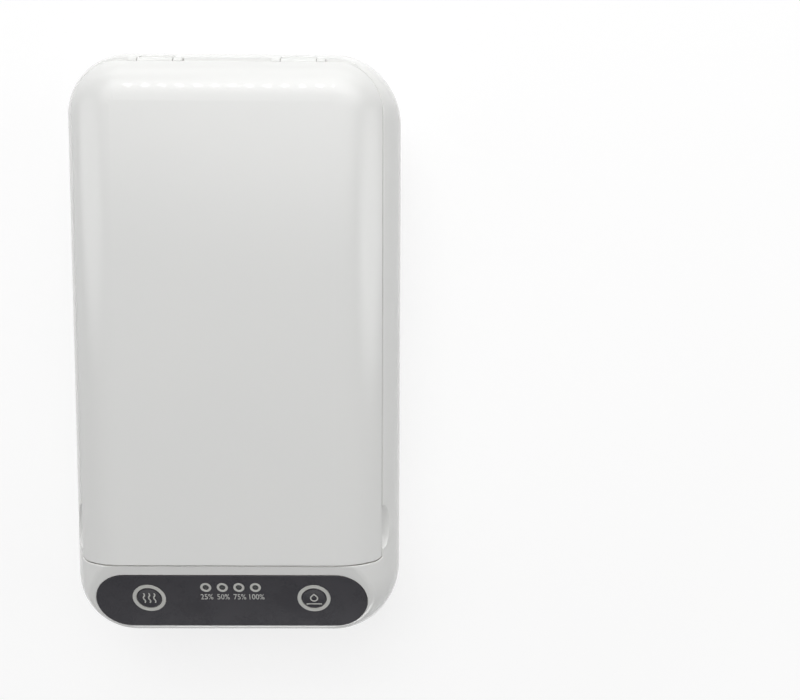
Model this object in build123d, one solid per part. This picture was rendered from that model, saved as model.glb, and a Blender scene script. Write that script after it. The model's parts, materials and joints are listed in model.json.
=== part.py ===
"""Phone sanitizer box: a pebble-shaped clamshell with two UV-C tubes in its lid.

Frame: millimetres, +Z up, +Y towards the hinge, origin under the middle of the feet.
The box stands on four rubber feet with its lid closed.  Each function below makes one
separate piece, or one group of identical pieces, of the product.
"""

import math
import os

from build123d import *

# ---------------------------------------------------------------- overall form
WIDTH, LENGTH, HEIGHT = 130.0, 230.0, 50.0
FOOT_LIFT = 1.5  # the feet hold the shell this far off the table
CORNER_R = 26.0  # corners seen from above
EDGE_R = 24.0  # full round edge, top and bottom
WALL, LID_WALL = 2.4, 2.2
SEAM_Z = 26.0  # seam between the two base shells, at the widest level
SEAM_GROOVE = (0.5, 0.2)  # depth and height of its shadow line
TONGUE = 1.5
RIM_Z, RIM_PLATE = 42.35, 2.0
GAP = 0.3
LID_Z = RIM_Z + GAP
LID_FRONT_Y = -81.4
NOSE_Y = LID_FRONT_Y - GAP
NOSE_HALF, NOSE_R = 60.0, 5.0  # the wall that faces the lid turns back at its ends
LID_LAND = 0.3  # blunt land that keeps the lid's edge from being a knife

# ---------------------------------------------------------------- control deck
DECK_SLOPE = math.radians(18.5)
DECK_TOP_Z = 49.35
CREASE_R, LIP_R = 3.0, 0.4
PANEL_Y = -97.65
PANEL_SIZE, PANEL_T, PANEL_PROUD = (105.2, 24.7), 1.5, 0.3
FIT = 0.15  # gap round an inlaid piece
INLAY_LOW = PANEL_PROUD - 0.4
BUTTON_X, BUTTON_V = 31.9, 1.6
BUTTON_D, FLANGE_D, BUTTON_TOP = 9.5, 11.0, 0.45
RING_OD, RING_ID = 12.8, 9.9
LED_PITCH, LED_V, LED_OD, LED_ID = 6.36, 6.8, 4.2, 2.5
PIPE_D = 2.3
BOARD_FACE, BOARD_T = -7.0, 1.6
BOARD_SIZE = (90.0, 17.0)
BOARD_SCREW_X, BOARD_SCREW_V = 41.5, 5.5
SWITCH_TOP, PLUNGER_TOP, PLUNGER_D = -3.5, -2.7, 3.0

# ---------------------------------------------------------------- phone cavity
CAVITY, CAVITY_R, CAVITY_Y = (102.0, 177.0), 12.0, 11.5
TRAY_FLOOR_Z, TRAY_T = 18.0, 1.6
FLANGE_W, FLANGE_T = 3.2, 1.0
RIB_SIZE, RIB_X, RIB_ROWS = (30.0, 1.6, 2.5), 27.0, (-56.0, -22.0, 12.0, 46.0)
SHEET_T = 0.3
WELL_Y, WELL_D, WELL_DEPTH, WELL_WALL = 76.0, 24.0, 5.0, 1.4
CAP_D, CAP_T = 26.2, 1.6

# ---------------------------------------------------------------- lid and hinge
WINDOW, WINDOW_R = (92.0, 166.0), 10.0
LINER_T = 1.2
PIVOT_Y, PIVOT_Z = 107.5, 41.6
PIN_D, BORE_D, BARREL_R = 1.5, 1.62, 1.75
HINGE_X, KNUCKLE_W, KNUCKLE_GAP, EAR_W = 26.6, 13.2, 0.2, 3.2
LEDGE_Z = PIVOT_Z - 0.3
LEDGE_Y = PIVOT_Y - 0.75
LAMP_X, LAMP_Z, LAMP_D, LAMP_L = 22.0, 44.9, 4.0, 140.0
LAMP_BORE = 3.0
REFLECTOR_IN, REFLECTOR_T = 0.1, 0.4
LID_SCREWS = ((-36.0, -75.5), (36.0, -75.5), (-36.0, 98.2), (36.0, 98.2))

# ---------------------------------------------------------------- finger catches
SCOOP_Y, SCOOP_HALF_LENGTH = -68.75, 10.35
SCOOP_R, SCOOP_OUT, SCOOP_WALL = 5.2, 2.7, 1.6
SCOOP_ANGLE = math.asin((RIM_Z + 0.15 - (HEIGHT - EDGE_R)) / EDGE_R)

# ---------------------------------------------------------------- underside
FOOT_X, FOOT_Y, FOOT_D, FOOT_RING_D, FOOT_RECESS = 34.1, 82.2, 8.3, 10.0, 0.8
FLOOR_Z = FOOT_LIFT + WALL
POST_D, POST_TOP_Z, SCREW_SEAT_Z = 8.0, 12.4, 8.0
SCREW_D, BOSS_D = 2.5, 7.0
GRILLE_Y, GRILLE_PITCH, GRILLE_HOLE_D = -76.0, 3.4, 0.8
GRILLE_RINGS = (8, 16, 20, 24, 28)
SPEAKER_D, SPEAKER_SEAT_Z = 36.0, 4.4

# ---------------------------------------------------------------- electronics
DRIVER_SIZE, DRIVER_T, DRIVER_Z, DRIVER_Y = (64.0, 46.0), 1.6, 8.0, 30.0
DRIVER_SCREW_X, DRIVER_SCREW_Y = 28.0, 19.0
SOCKET_Z, SOCKET_SIZE, SOCKET_T = 20.0, (8.94, 3.26), 0.3
SOCKET_BACK_Y, SOCKET_MOUTH_Y = 105.3, 112.9
SOCKET_BOARD_T = 1.2

FAR = 200.0
DECK_TAN = math.tan(DECK_SLOPE)
PANEL_Z = DECK_TOP_Z - (NOSE_Y - PANEL_Y) * DECK_TAN
DECK = Plane(
    origin=(0, PANEL_Y, PANEL_Z),
    x_dir=(1, 0, 0),
    z_dir=(0, -math.sin(DECK_SLOPE), math.cos(DECK_SLOPE)),
)


# ================================================================ shared forms
def span_box(x, y, z):
    """A block given by its lowest and highest x, y and z."""
    middle = [(low + high) / 2 for low, high in (x, y, z)]
    size = [high - low for low, high in (x, y, z)]
    return Pos(*middle) * Box(*size)


def layer(z_low, z_high, y_low=-FAR, y_high=FAR):
    """A block wider than the product between two heights, and two depths if given."""
    return span_box((-FAR, FAR), (y_low, y_high), (z_low, z_high))


def rod(x, y, z_low, z_high, diameter):
    """An upright cylinder."""
    return Pos(x, y, (z_low + z_high) / 2) * Cylinder(diameter / 2, z_high - z_low)


def cross_rod(x, y, z, diameter):
    """A cylinder along X between two x values."""
    return Pos((x[0] + x[1]) / 2, y, z) * Rot(0, 90, 0) * Cylinder(diameter / 2, x[1] - x[0])


def long_rod(x, y, z, diameter):
    """A cylinder along Y between two y values."""
    return Pos(x, (y[0] + y[1]) / 2, z) * Rot(90, 0, 0) * Cylinder(diameter / 2, y[1] - y[0])


def grown(size, by):
    """A length and width grown by the same amount on every side."""
    return size[0] + 2 * by, size[1] + 2 * by


def round_plate(size, radius, z_low, z_high):
    """A flat plate with round corners, centred over the phone cavity."""
    outline = RectangleRounded(size[0], size[1], radius)
    return Pos(0, CAVITY_Y, z_low) * extrude(outline, z_high - z_low)


def turned(profile_points, x, y):
    """A body of revolution about an upright axis, from radius and height points."""
    face = make_face(Plane.XZ * Polyline(*profile_points, close=True))
    return Pos(x, y, 0) * revolve(face, Axis.Z)


def deck_rod(x, v, low, high, diameter):
    """A cylinder square to the deck: x across it, v up its slope."""
    return DECK * (Pos(x, v, (low + high) / 2) * Cylinder(diameter / 2, high - low))


def deck_box(x, v, low, high, size):
    """A block square to the deck."""
    return DECK * (Pos(x, v, (low + high) / 2) * Box(size[0], size[1], high - low))


def deck_stadium(size, low, high):
    """A plate with round ends, square to the deck."""
    return DECK * (Pos(0, 0, low) * extrude(SlotOverall(size[0], size[1]), high - low))


def both_sides(solid):
    """A solid and its mirror image on the other side of the middle plane."""
    return [solid, mirror(solid, Plane.YZ)]


def screw(x, y, seat_z, tip_z, shank_d, head_d, head_t):
    """A pan head screw with its cross recess; the tip is above or below the seat."""
    away = -1 if tip_z > seat_z else 1
    head_z = seat_z + away * head_t
    head = rod(x, y, min(seat_z, head_z), max(seat_z, head_z), head_d)
    for length, width in ((0.6, 0.15), (0.15, 0.6)):
        recess = (x - head_d * length / 2, x + head_d * length / 2)
        across = (y - head_d * width / 2, y + head_d * width / 2)
        depth = sorted((head_z, head_z - away * head_t * 0.5))
        head -= span_box(recess, across, depth)
    return head + rod(x, y, min(seat_z, tip_z), max(seat_z, tip_z), shank_d)


def pebble(inset=0.0):
    """The plain outer form, shrunk evenly by inset: a block with full round edges."""
    size = (WIDTH - 2 * inset, LENGTH - 2 * inset, HEIGHT - FOOT_LIFT - 2 * inset)
    body = Pos(0, 0, (HEIGHT + FOOT_LIFT) / 2) * Box(*size)
    body = fillet(body.edges().filter_by(Axis.Z), CORNER_R - inset)
    levels = body.edges().group_by(Axis.Z)
    return fillet(levels[0] + levels[-1], EDGE_R - inset)


def above_deck(inset=0.0):
    """Everything above the sloping deck, in front of the lid, moved down by inset."""
    front_y = -FAR
    back_z = DECK_TOP_Z - inset / math.cos(DECK_SLOPE)
    front_z = back_z - (NOSE_Y - front_y) * DECK_TAN
    corners = ((NOSE_Y, back_z), (front_y, front_z), (front_y, FAR), (NOSE_Y, FAR))
    return extrude(Plane.YZ * make_face(Polyline(*corners, close=True)), FAR, both=True)


def behind_nose(z_low, gap=0.0):
    """Everything above a height and behind the wall that faces the lid."""
    outline = RectangleRounded(2 * (NOSE_HALF - gap), 2 * FAR, NOSE_R - gap)
    return Pos(0, NOSE_Y + gap + FAR, z_low) * extrude(outline, FAR)


def on_nose_lip(edge, z_low, gap=0.0):
    """Whether an edge is on the upper outline of the wall between base and lid."""
    for t in (0.1, 0.5, 0.9):
        point = edge @ t
        past_bend = max(0.0, abs(point.X) - (NOSE_HALF - NOSE_R))
        depth = point.Y - (NOSE_Y + NOSE_R)
        off_wall = abs(math.hypot(past_bend, depth) - (NOSE_R - gap))
        if off_wall > 0.001 or depth > 0 or point.Z < z_low + 0.1:
            return False
    return True


def finger_scoop(extra=0.0):
    """A spindle that scoops the finger catch under the lid's edge, on the +X side."""
    half, radius = SCOOP_HALF_LENGTH + extra, SCOOP_R + extra
    rim = EllipticalCenterArc((0, 0), half, radius, 0, arc_size=180)
    spindle = revolve(make_face(rim + Line(rim @ 1, rim @ 0)), Axis.X)
    reach = EDGE_R + SCOOP_OUT
    x = WIDTH / 2 - EDGE_R + reach * math.cos(SCOOP_ANGLE)
    z = HEIGHT - EDGE_R + reach * math.sin(SCOOP_ANGLE)
    return Pos(x, SCOOP_Y, z) * Rot(0, 0, 90) * spindle


# ================================================================ repeated places
def foot_places():
    """Centres of the four feet; a case screw hides above each."""
    return [(x, y) for x in (-FOOT_X, FOOT_X) for y in (-FOOT_Y, FOOT_Y)]


def grille_places():
    """Centres of the sound holes, in rings round the middle one."""
    places = []
    for ring, count in enumerate(GRILLE_RINGS, start=1):
        for step in range(count):
            angle = 2 * math.pi * step / count
            radius = ring * GRILLE_PITCH
            places.append((radius * math.cos(angle), GRILLE_Y + radius * math.sin(angle)))
    return places


def led_places():
    """The four indicator positions across the deck."""
    return [(step - 1.5) * LED_PITCH for step in range(4)]


def control_screw_places():
    """Screws of the control board on the deck."""
    return [(x, v) for x in (-BOARD_SCREW_X, BOARD_SCREW_X) for v in (-BOARD_SCREW_V, BOARD_SCREW_V)]


def driver_screw_places():
    """Screws of the driver board on the floor."""
    ys = (DRIVER_Y - DRIVER_SCREW_Y, DRIVER_Y + DRIVER_SCREW_Y)
    return [(x, y) for x in (-DRIVER_SCREW_X, DRIVER_SCREW_X) for y in ys]


def rib_places():
    """Centres of the ribs that hold the phone off the cavity floor."""
    return [(x, y) for x in (-RIB_X, RIB_X) for y in RIB_ROWS]


# ================================================================ hinge forms
def knuckle_span(grow=0.0):
    """X range of one lid knuckle, on the +X side."""
    return HINGE_X - KNUCKLE_W / 2 - grow, HINGE_X + KNUCKLE_W / 2 + grow


def ear_spans(grow=0.0):
    """X ranges of the two base ears that hold one pin, on the +X side."""
    low, high = knuckle_span(KNUCKLE_GAP)
    return (low - EAR_W - grow, low + grow), (high - grow, high + EAR_W + grow)


def pin_span():
    """X range of one hinge pin, on the +X side."""
    return ear_spans()[0][0], ear_spans()[1][1]


def hinge_ear(span):
    """A barrel on a root that grows out of the base's rear wall."""
    root = span_box(span, (PIVOT_Y - BARREL_R, PIVOT_Y + BARREL_R), (PIVOT_Z - 4, PIVOT_Z))
    return cross_rod(span, PIVOT_Y, PIVOT_Z, 2 * BARREL_R) + (root & pebble())


def hinge_notch():
    """The opening in the base's rear wall in which the lid's knuckle turns."""
    reach = BARREL_R + 0.3
    return span_box(knuckle_span(KNUCKLE_GAP), (PIVOT_Y - reach, FAR), (PIVOT_Z - reach, FAR))


def lid_knuckle():
    """The lid's barrel with the short arm that carries it."""
    arm_y = (PIVOT_Y - BARREL_R, PIVOT_Y - 0.1)
    arm = span_box(knuckle_span(), arm_y, (PIVOT_Z, LID_Z + 0.5))
    return cross_rod(knuckle_span(), PIVOT_Y, PIVOT_Z, 2 * BARREL_R) + arm


# ================================================================ base shells
def base_form():
    """The closed outer form of the base, with the crease of the deck rounded."""
    form = pebble() - above_deck() - behind_nose(RIM_Z)
    on_crease = []
    for edge in form.edges():
        off_deck = max(abs(DECK.to_local_coords(edge @ t).Z) for t in (0, 0.3, 0.7, 1))
        at_lid = abs((edge @ 0.5).Y - NOSE_Y) < 0.1
        if off_deck < 0.001 and not at_lid:
            on_crease.append(edge)
    form = fillet(on_crease, CREASE_R)
    return fillet([edge for edge in form.edges() if on_nose_lip(edge, RIM_Z)], LIP_R)


def upper_shell():
    """The frame round the cavity, with the rim, the control deck and the hinge ears."""
    form = base_form()
    under_rim = layer(-FAR, RIM_Z - RIM_PLATE) + layer(-FAR, FAR, -FAR, NOSE_Y - WALL)
    shell = form - ((pebble(WALL) - above_deck(WALL)) & under_rim)
    shell += [pad & form for pad in both_sides(finger_scoop(SCOOP_WALL))]
    shell &= layer(SEAM_Z, FAR)
    shell -= both_sides(finger_scoop())
    shell += [rod(x, -FOOT_Y, POST_TOP_Z, RIM_Z - 1, BOSS_D) for x in (-FOOT_X, FOOT_X)]
    shell -= [rod(x, -FOOT_Y, POST_TOP_Z - 1, TRAY_FLOOR_Z, SCREW_D) for x in (-FOOT_X, FOOT_X)]

    flange = grown(CAVITY, FLANGE_W + FIT)
    shell -= round_plate(flange, CAVITY_R + FLANGE_W + FIT, RIM_Z - FLANGE_T, RIM_Z + 1)
    opening = grown(CAVITY, TRAY_T + FIT)
    shell -= round_plate(opening, CAVITY_R + TRAY_T + FIT, SEAM_Z, RIM_Z + 1)

    shell -= layer(LEDGE_Z, FAR, LEDGE_Y, FAR)
    shell -= both_sides(hinge_notch())
    for span in ear_spans():
        shell += both_sides(hinge_ear(span))
    shell -= both_sides(cross_rod(pin_span(), PIVOT_Y, PIVOT_Z, PIN_D))

    shell -= deck_stadium(grown(PANEL_SIZE, FIT), PANEL_PROUD - PANEL_T, 5)
    shell -= [deck_rod(x, BUTTON_V, -5, 0, FLANGE_D + 0.6) for x in (-BUTTON_X, BUTTON_X)]
    shell -= deck_box(0, LED_V, -5, 0, (3 * LED_PITCH + 5, 4.6))
    shell += [deck_rod(x, v, BOARD_FACE, 0.3 - WALL, 5) for x, v in control_screw_places()]
    shell -= [deck_rod(x, v, BOARD_FACE - 1, -3.2, 1.7) for x, v in control_screw_places()]

    tongue = pebble(WALL / 2 + 0.05) - pebble(WALL)
    shell += tongue & layer(SEAM_Z - TONGUE, SEAM_Z)
    return shell - seam_groove()


def seam_groove():
    """The shallow shadow line that runs round the widest level."""
    depth, height = SEAM_GROOVE
    return (pebble(-1) - pebble(depth)) & layer(SEAM_Z - height / 2, SEAM_Z + height / 2)


def bottom_shell():
    """The lower shell: foot seats, sound holes, posts and the opening of the power socket."""
    shell = (pebble() - pebble(WALL)) & layer(-FAR, SEAM_Z)
    groove = pebble(WALL / 2 - 0.05) - pebble(WALL + 1)
    shell -= groove & layer(SEAM_Z - TONGUE - 0.1, SEAM_Z + 1)
    for x, y in foot_places():
        shell += rod(x, y, FOOT_LIFT - 0.4, FOOT_LIFT + 1, FOOT_RING_D)
        shell += rod(x, y, FLOOR_Z - 1, POST_TOP_Z, POST_D)
        shell -= rod(x, y, 0, FOOT_LIFT + FOOT_RECESS, FOOT_D + 0.1)
        shell -= rod(x, y, 0, SCREW_SEAT_Z, 4.6)
        shell -= rod(x, y, 0, POST_TOP_Z + 1, SCREW_D + 0.4)
    for x, y in driver_screw_places():
        shell += rod(x, y, FLOOR_Z - 1, DRIVER_Z, 5.0)
        shell -= rod(x, y, FLOOR_Z, DRIVER_Z + 1, 2.0)

    shell += rod(0, GRILLE_Y, FLOOR_Z - 1, SPEAKER_SEAT_Z + 2.4, SPEAKER_D + 3.2)
    shell -= rod(0, GRILLE_Y, SPEAKER_SEAT_Z, 20, SPEAKER_D + 0.4)
    shell -= rod(0, GRILLE_Y, FLOOR_Z, 20, SPEAKER_D - 5)
    holes = [rod(x, y, 0, FLOOR_Z + 1, GRILLE_HOLE_D) for x, y in grille_places()]
    shell -= holes + [rod(0, GRILLE_Y, 0, FLOOR_Z + 1, 2 * GRILLE_HOLE_D)]

    board_low = SOCKET_Z - SOCKET_SIZE[1] / 2 - SOCKET_BOARD_T
    post = span_box((5.0, 8.0), (106.0, 110.6), (8, board_low)) & pebble()
    shell += both_sides(post)
    shell += both_sides(rod(6.5, 108.2, board_low - 1, board_low + SOCKET_BOARD_T + 0.5, 1.5))
    shell -= socket_block(grown(SOCKET_SIZE, 0.2), SOCKET_MOUTH_Y - 4, FAR)
    shell -= socket_block((12.4, 6.8), SOCKET_MOUTH_Y + 0.4, FAR)
    return shell - seam_groove()


def socket_block(size, y_low, y_high):
    """A bar with round sides that lies along Y at the power socket."""
    outline = Plane.XZ * SlotOverall(size[0], size[1])
    return Pos(0, y_high, SOCKET_Z) * extrude(outline, y_high - y_low)


def rubber_feet():
    """Four soft pads pressed into their seats over the case screws."""
    feet = []
    for x, y in foot_places():
        foot = rod(x, y, 0, FOOT_LIFT + FOOT_RECESS, FOOT_D)
        feet.append(fillet(foot.edges().group_by(Axis.Z)[0], 0.6))
    return feet


def case_screws():
    """Long screws that pull the two shells together through the posts."""
    tip = TRAY_FLOOR_Z - TRAY_T + 0.8
    return [screw(x, y, SCREW_SEAT_Z, tip, SCREW_D, 4.4, 1.6) for x, y in foot_places()]


# ================================================================ phone cavity
def cavity_tray():
    """The liner that holds the phone: walls, floor, ribs, flange and aroma well."""
    outer = round_plate(grown(CAVITY, TRAY_T), CAVITY_R + TRAY_T, TRAY_FLOOR_Z - TRAY_T, RIM_Z)
    outer = fillet(outer.edges().group_by(Axis.Z)[0], 6.0)
    outer += round_plate(grown(CAVITY, FLANGE_W), CAVITY_R + FLANGE_W, RIM_Z - FLANGE_T, RIM_Z)
    well_low = TRAY_FLOOR_Z - WELL_DEPTH
    outer += rod(0, WELL_Y, well_low - WELL_WALL, TRAY_FLOOR_Z, WELL_D + 2 * WELL_WALL)
    outer += [rod(x, FOOT_Y, POST_TOP_Z, TRAY_FLOOR_Z - 1, BOSS_D) for x in (-FOOT_X, FOOT_X)]
    inner = round_plate(CAVITY, CAVITY_R, TRAY_FLOOR_Z, RIM_Z + 1)
    tray = outer - fillet(inner.edges().group_by(Axis.Z)[0], 4.4)
    tray -= rod(0, WELL_Y, well_low, TRAY_FLOOR_Z + 1, WELL_D)
    tray -= rod(0, WELL_Y, TRAY_FLOOR_Z - CAP_T + 0.4, TRAY_FLOOR_Z + 1, CAP_D + 0.2)
    for x in (-FOOT_X, FOOT_X):
        tray -= rod(x, FOOT_Y, POST_TOP_Z - 1, TRAY_FLOOR_Z - TRAY_T + 0.8, SCREW_D)
    for x, y in rib_places():
        tray += phone_rib(x, y)
    return tray


def phone_rib(x, y):
    """One low rib with a softened top."""
    length, width, height = RIB_SIZE
    rib = Pos(x, y, TRAY_FLOOR_Z + height / 2 - 0.1) * Box(length, width, height + 0.2)
    return chamfer(rib.edges().group_by(Axis.Z)[-1], 0.5)


def floor_reflector():
    """A polished sheet on the cavity floor, slotted for the ribs."""
    sheet = round_plate(grown(CAVITY, -5.0), CAVITY_R - 5.0, TRAY_FLOOR_Z, TRAY_FLOOR_Z + SHEET_T)
    sheet -= rod(0, WELL_Y, TRAY_FLOOR_Z - 1, TRAY_FLOOR_Z + 1, CAP_D + 1.2)
    for x, y in rib_places():
        slot = grown(RIB_SIZE[:2], 0.4)
        sheet -= Pos(x, y, TRAY_FLOOR_Z) * Box(slot[0], slot[1], 2)
    return sheet


def warming_film():
    """A thin heater bonded under the cavity floor; it cures the screen coating."""
    return Pos(0, -6, TRAY_FLOOR_Z - TRAY_T - SHEET_T / 2) * Box(84, 110, SHEET_T)


def aroma_pad():
    """The felt disc that takes the drops of scent."""
    low = TRAY_FLOOR_Z - WELL_DEPTH
    return rod(0, WELL_Y, low, low + 3.2, WELL_D - 0.8)


def aroma_cap():
    """The slotted cover over the aroma well."""
    low = TRAY_FLOOR_Z - CAP_T + 0.4
    cap = rod(0, WELL_Y, low, low + CAP_T, CAP_D)
    cap = chamfer(cap.edges().group_by(Axis.Z)[-1], 0.3)
    slot = extrude(SlotOverall(7.0, 1.8), 2 * CAP_T)
    for turn in range(8):
        cap -= Pos(0, WELL_Y, low - CAP_T / 2) * Rot(0, 0, 45 * turn) * Pos(7.4, 0, 0) * slot
    return cap


def aroma_heater():
    """The small ceramic heater bonded under the aroma well."""
    top = TRAY_FLOOR_Z - WELL_DEPTH - WELL_WALL
    heater = rod(0, WELL_Y, top - 1.2, top, 18.0)
    return heater + span_box((-3, 3), (WELL_Y - 12, WELL_Y), (top - 1.0, top - 0.2))


# ================================================================ speaker
def speaker_gasket():
    """The foam ring between the speaker and its seat."""
    top = SPEAKER_SEAT_Z + 0.6
    inner, outer = SPEAKER_D / 2 - 2.5, SPEAKER_D / 2
    ring = ((inner, SPEAKER_SEAT_Z), (outer, SPEAKER_SEAT_Z), (outer, top), (inner, top))
    return turned(ring, 0, GRILLE_Y)


def speaker_frame():
    """The pressed basket from the rim to the magnet seat."""
    low = SPEAKER_SEAT_Z + 0.6
    outer = SPEAKER_D / 2
    profile = (
        (outer - 2.5, low),
        (outer, low),
        (outer, low + 1.2),
        (outer - 2.0, low + 1.2),
        (10.5, low + 5.2),
        (4.0, low + 5.2),
        (4.0, low + 4.4),
        (10.0, low + 4.4),
    )
    return turned(profile, 0, GRILLE_Y)


def speaker_cone():
    """The thin cone with its half-round surround at the rim."""
    low = SPEAKER_SEAT_Z + 0.9
    profile = ((4.0, low + 2.6), (14.2, low), (15.0, low), (4.0, low + 3.0))
    return turned(profile, 0, GRILLE_Y)


def speaker_magnet():
    """The magnet cup behind the basket."""
    low = SPEAKER_SEAT_Z + 5.8
    cup = rod(0, GRILLE_Y, low, low + 5.0, 19.0)
    return chamfer(cup.edges().group_by(Axis.Z)[-1], 0.8)


# ================================================================ driver board
def driver_board():
    """The board that runs the tubes, the heaters and the speaker."""
    board = extrude(RectangleRounded(*DRIVER_SIZE, 2), DRIVER_T)
    board = Pos(0, DRIVER_Y, DRIVER_Z) * board
    return board - [rod(x, y, 0, 20, 2.2) for x, y in driver_screw_places()]


def driver_board_screws():
    """Four short screws into the floor posts."""
    seat = DRIVER_Z + DRIVER_T
    return [screw(x, y, seat, FLOOR_Z + 0.6, 2.0, 3.8, 1.2) for x, y in driver_screw_places()]


def inverter_transformer():
    """The step-up transformer of the tubes: winding inside a ferrite frame."""
    low = DRIVER_Z + DRIVER_T
    core = span_box((-20, -4), (36, 50), (low, low + 5.6))
    core -= span_box((-17.5, -6.5), (30, 60), (low + 1.2, low + 4.4))
    return core + span_box((-16.5, -7.5), (35, 51), (low + 0.6, low + 5.0))


def capacitors():
    """Three electrolytic cans."""
    low = DRIVER_Z + DRIVER_T
    cans = [rod(6 + 8 * step, 45, low, low + 5.8, 6.3) for step in range(3)]
    return [chamfer(can.edges().group_by(Axis.Z)[-1], 0.4) for can in cans]


def power_inductor():
    """The square inductor of the supply."""
    low = DRIVER_Z + DRIVER_T
    return Pos(10, 34, low) * extrude(RectangleRounded(7.4, 7.4, 1.2), 3.6)


def driver_chips():
    """The controller and the amplifier chip."""
    low = DRIVER_Z + DRIVER_T
    return [
        span_box((-14, -4), (20, 27), (low, low + 1.6)),
        span_box((6, 12), (20, 25), (low, low + 1.5)),
    ]


def cable_headers():
    """White two-pin sockets for the wires to the other boards."""
    low = DRIVER_Z + DRIVER_T
    headers = []
    for x in (-16.0, -5.0, 6.0, 17.0):
        header = span_box((x - 3.5, x + 3.5), (8.5, 13.5), (low, low + 4.5))
        headers.append(header - span_box((x - 2.7, x + 2.7), (9.3, 12.7), (low + 1, low + 5)))
    return headers


# ================================================================ power socket
def power_socket():
    """The metal shell of the charging socket."""
    shell = socket_block(SOCKET_SIZE, SOCKET_BACK_Y, SOCKET_MOUTH_Y)
    return shell - socket_block(grown(SOCKET_SIZE, -SOCKET_T), SOCKET_BACK_Y + 1, FAR)


def socket_tongue():
    """The contact tongue inside the socket."""
    y_range = (SOCKET_BACK_Y + 1, SOCKET_MOUTH_Y - 1)
    return span_box((-3.3, 3.3), y_range, (SOCKET_Z - 0.35, SOCKET_Z + 0.35))


def socket_board():
    """The small board that carries the socket, staked on two pins."""
    top = SOCKET_Z - SOCKET_SIZE[1] / 2
    board = span_box((-10, 10), (105.0, 110.6), (top - SOCKET_BOARD_T, top))
    return board - both_sides(rod(6.5, 108.2, 0, 30, 1.5))


# ================================================================ control deck
def control_panel():
    """The dark plate, with stepped seats for the rings and holes for what shows."""
    panel = deck_stadium(PANEL_SIZE, PANEL_PROUD - PANEL_T, PANEL_PROUD)
    panel = chamfer(panel.edges().filter_by(on_panel_top), 0.2)
    for x in (-BUTTON_X, BUTTON_X):
        panel -= deck_rod(x, BUTTON_V, INLAY_LOW, 5, RING_OD + 0.1)
        panel -= deck_rod(x, BUTTON_V, -5, 5, RING_ID)
    for x in led_places():
        panel -= deck_rod(x, LED_V, INLAY_LOW, 5, LED_OD + 0.1)
        panel -= deck_rod(x, LED_V, -5, 5, LED_ID)
    return panel


def on_panel_top(edge):
    """Whether an edge lies in the panel's upper face."""
    return all(abs(DECK.to_local_coords(edge @ t).Z - PANEL_PROUD) < 0.001 for t in (0, 0.5, 1))


def button_rings():
    """Pale rings inlaid round the two buttons."""
    rings = []
    for x in (-BUTTON_X, BUTTON_X):
        ring = deck_rod(x, BUTTON_V, INLAY_LOW, PANEL_PROUD + 0.1, RING_OD)
        rings.append(ring - deck_rod(x, BUTTON_V, -5, 5, RING_ID))
    return rings


def led_rings():
    """Pale rings inlaid round the four indicators."""
    rings = []
    for x in led_places():
        ring = deck_rod(x, LED_V, INLAY_LOW, PANEL_PROUD + 0.05, LED_OD)
        rings.append(ring - deck_rod(x, LED_V, -5, 5, LED_ID))
    return rings


def light_pipes():
    """Clear rods that carry the light of the indicators up through the panel."""
    pipes = []
    for x in led_places():
        pipe = deck_rod(x, LED_V, -5.9, PANEL_PROUD, PIPE_D)
        pipes.append(pipe + deck_rod(x, LED_V, -2.0, PANEL_PROUD - PANEL_T, 3.4))
    return pipes


def control_board():
    """The narrow board under the deck."""
    low = BOARD_FACE - BOARD_T
    board = DECK * (Pos(0, 0, low) * extrude(RectangleRounded(*BOARD_SIZE, 2), BOARD_T))
    return board - [deck_rod(x, v, -20, 0, 1.9) for x, v in control_screw_places()]


def control_board_screws():
    """Four small screws driven up into the bosses of the deck."""
    seat = BOARD_FACE - BOARD_T
    return [DECK * screw(x, v, seat, -3.2, 1.7, 3.6, 1.2) for x, v in control_screw_places()]


def tact_switches():
    """Two square switches under the buttons."""
    switches = []
    for x in (-BUTTON_X, BUTTON_X):
        switch = deck_box(x, BUTTON_V, BOARD_FACE, SWITCH_TOP, (6.0, 6.0))
        switches.append(switch - deck_rod(x, BUTTON_V, -5.7, 0, PLUNGER_D + 0.4))
    return switches


def status_leds():
    """Four tiny lamps on the control board."""
    return [deck_box(x, LED_V, BOARD_FACE, BOARD_FACE + 0.6, (1.6, 0.8)) for x in led_places()]


def board_connector():
    """The wire socket under the control board."""
    top = BOARD_FACE - BOARD_T
    body = deck_box(0, 0, top - 4.2, top, (12.0, 5.0))
    return body - deck_box(0, 0, top - 5, top - 1, (10.4, 3.6))


def push_button(x):
    """A dished cap with a retaining flange and a short stem."""
    cap = deck_rod(x, BUTTON_V, PANEL_PROUD - PANEL_T - 0.1, BUTTON_TOP, BUTTON_D)
    top = [edge for edge in cap.edges() if DECK.to_local_coords(edge @ 0).Z > BUTTON_TOP - 0.01]
    cap = fillet(top, 0.3)
    dish_r = 60.0
    cap -= DECK * (Pos(x, BUTTON_V, BUTTON_TOP + dish_r - 0.15) * Sphere(dish_r))
    cap += deck_rod(x, BUTTON_V, -2.1, PANEL_PROUD - PANEL_T - 0.1, FLANGE_D)
    return cap + deck_rod(x, BUTTON_V, PLUNGER_TOP, -2.1, PLUNGER_D)


def plunger(x):
    """The moving stem of a switch."""
    return deck_rod(x, BUTTON_V, -5.2, PLUNGER_TOP, PLUNGER_D)


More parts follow.
